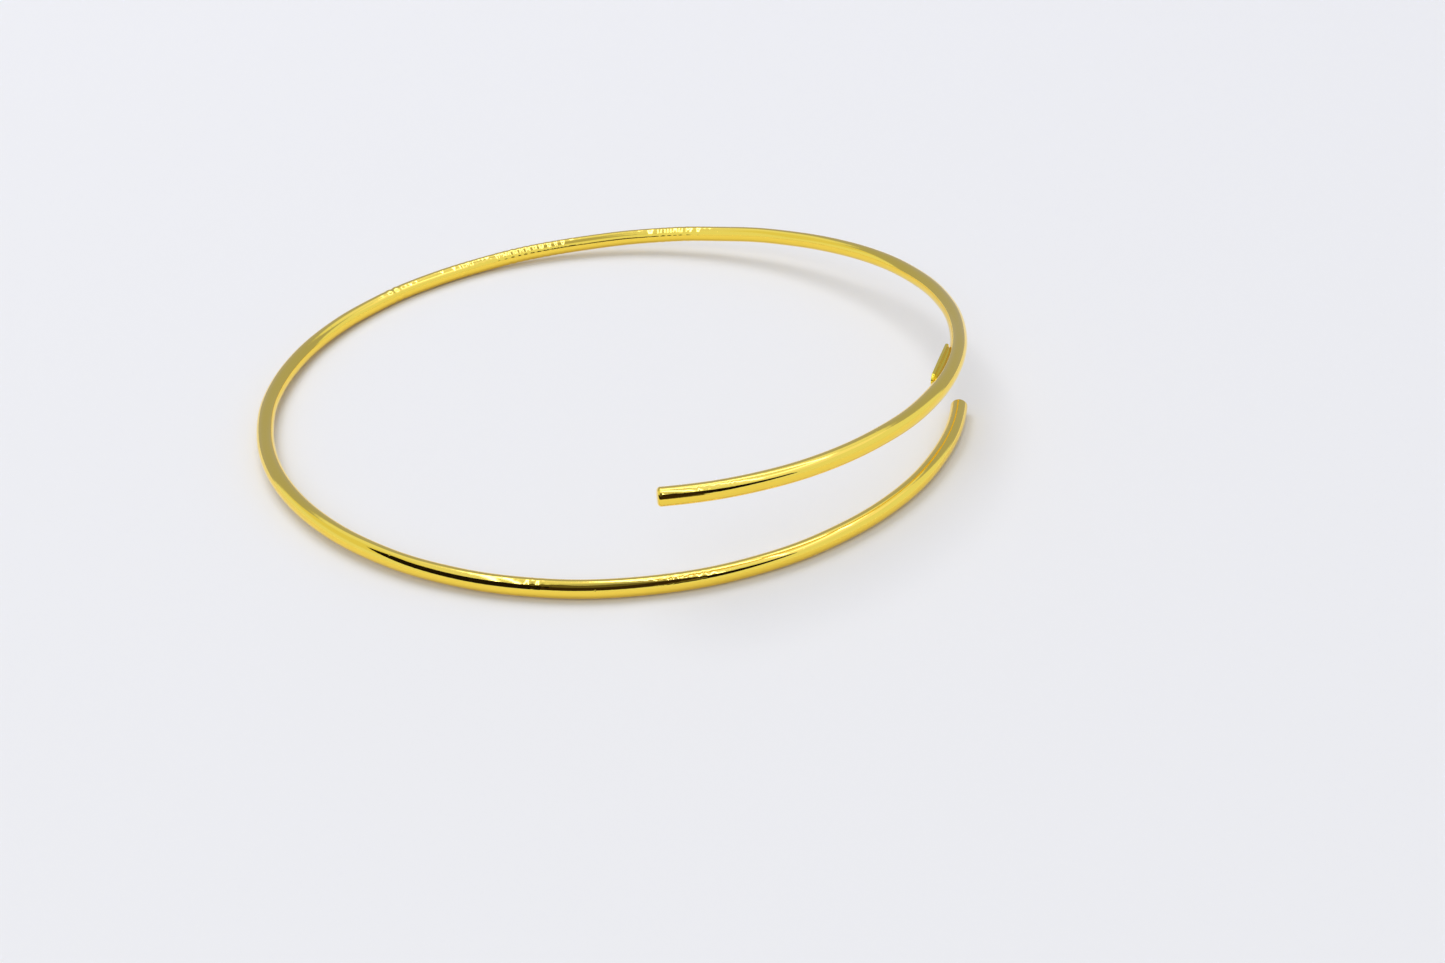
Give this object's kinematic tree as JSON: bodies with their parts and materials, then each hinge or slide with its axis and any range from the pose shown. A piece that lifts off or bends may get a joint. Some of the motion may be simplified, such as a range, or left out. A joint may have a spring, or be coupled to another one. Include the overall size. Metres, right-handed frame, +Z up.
{
  "type": "bangle bracelet",
  "caption": "Open wrap bangle of springy round gold-plated wire, its plain rounded ends overlapping side by side, with a small oval tag soldered inside the loop.",
  "frame": {"origin": "centre of the bounding box's underside, on the flat surface that the bangle rests on", "axes": "+Z up along the loop's axis, +Y towards the middle of the wire at the back of the loop, -Y towards the overlapping ends"},
  "size_m": [0.0633, 0.0634, 0.0092],
  "materials": {
    "gold_plated_wire": "polished yellow gold plating with faint drawing and bending marks",
    "gold_plated_tag": "stamped and plated sheet with softened edges",
    "gold_solder": "flowed solder under the plating, slightly duller"
  },
  "bodies": {
    "upper_tip": {"upper_tip_wire": "gold_plated_wire"},
    "upper_front": {"upper_front_wire": "gold_plated_wire", "inner_tag": "gold_plated_tag", "tag_solder": "gold_solder"},
    "upper_side": {"upper_side_wire": "gold_plated_wire"},
    "upper_shoulder": {"upper_shoulder_wire": "gold_plated_wire"},
    "upper_back": {"upper_back_wire": "gold_plated_wire"},
    "lower_back": {"lower_back_wire": "gold_plated_wire"},
    "lower_shoulder": {"lower_shoulder_wire": "gold_plated_wire"},
    "lower_side": {"lower_side_wire": "gold_plated_wire"},
    "lower_front": {"lower_front_wire": "gold_plated_wire"},
    "lower_tip": {"lower_tip_wire": "gold_plated_wire"}
  },
  "joints": [
    {"name": "hoop_opening", "type": "hinge", "parent": "upper_back", "child": "upper_shoulder", "pos_m": [0.02111, 0.02252, 0.00153], "axis": [0, 0, 1], "range_deg": [-3, 12], "stiffness_Nm_per_rad": 1.36},
    {"name": "opening_upper_front", "type": "hinge", "parent": "upper_side", "child": "upper_front", "pos_m": [0.02379, -0.01957, 0.00605], "axis": [0, 0, 1], "range_deg": [-1.33, 5.29]},
    {"name": "opening_upper_tip", "type": "hinge", "parent": "upper_front", "child": "upper_tip", "pos_m": [0.00396, -0.03052, 0.00744], "axis": [0, 0, 1], "range_deg": [-0.25, 0.97]},
    {"name": "opening_lower_shoulder", "type": "hinge", "parent": "lower_back", "child": "lower_shoulder", "pos_m": [-0.02115, 0.02257, 0.00109], "axis": [0, 0, 1], "range_deg": [-9.25, 2.32]},
    {"name": "opening_lower_side", "type": "hinge", "parent": "lower_shoulder", "child": "lower_side", "pos_m": [-0.0309, 0.002, 0.00115], "axis": [0, 0, 1], "range_deg": [-5.17, 1.3]},
    {"name": "opening_lower_front", "type": "hinge", "parent": "lower_side", "child": "lower_front", "pos_m": [-0.02393, -0.0197, 0.00083], "axis": [0, 0, 1], "range_deg": [-3.01, 0.76]},
    {"name": "opening_lower_tip", "type": "hinge", "parent": "lower_front", "child": "lower_tip", "pos_m": [-0.004, -0.03077, 0.0008], "axis": [0, 0, 1], "range_deg": [-0.97, 0.25]},
    {"name": "end_lift", "type": "hinge", "parent": "lower_back", "child": "upper_back", "pos_m": [0, 0.0309, 0.00077], "axis": [-1, 0, 0], "range_deg": [-1.5, 14], "stiffness_Nm_per_rad": 0.58},
    {"name": "lift_upper_side", "type": "hinge", "parent": "upper_shoulder", "child": "upper_side", "pos_m": [0.03077, 0.00199, 0.00373], "axis": [-0.7071, 0.7071, 0], "range_deg": [-0.97, 8.97]}
  ],
  "couplings": [
    {"joint": "opening_upper_front", "follows": "hoop_opening", "ratio": 0.44},
    {"joint": "opening_upper_tip", "follows": "hoop_opening", "ratio": 0.08},
    {"joint": "opening_lower_shoulder", "follows": "hoop_opening", "ratio": -0.77},
    {"joint": "opening_lower_side", "follows": "hoop_opening", "ratio": -0.43},
    {"joint": "opening_lower_front", "follows": "hoop_opening", "ratio": -0.25},
    {"joint": "opening_lower_tip", "follows": "hoop_opening", "ratio": -0.08},
    {"joint": "lift_upper_side", "follows": "end_lift", "ratio": 0.64}
  ]
}
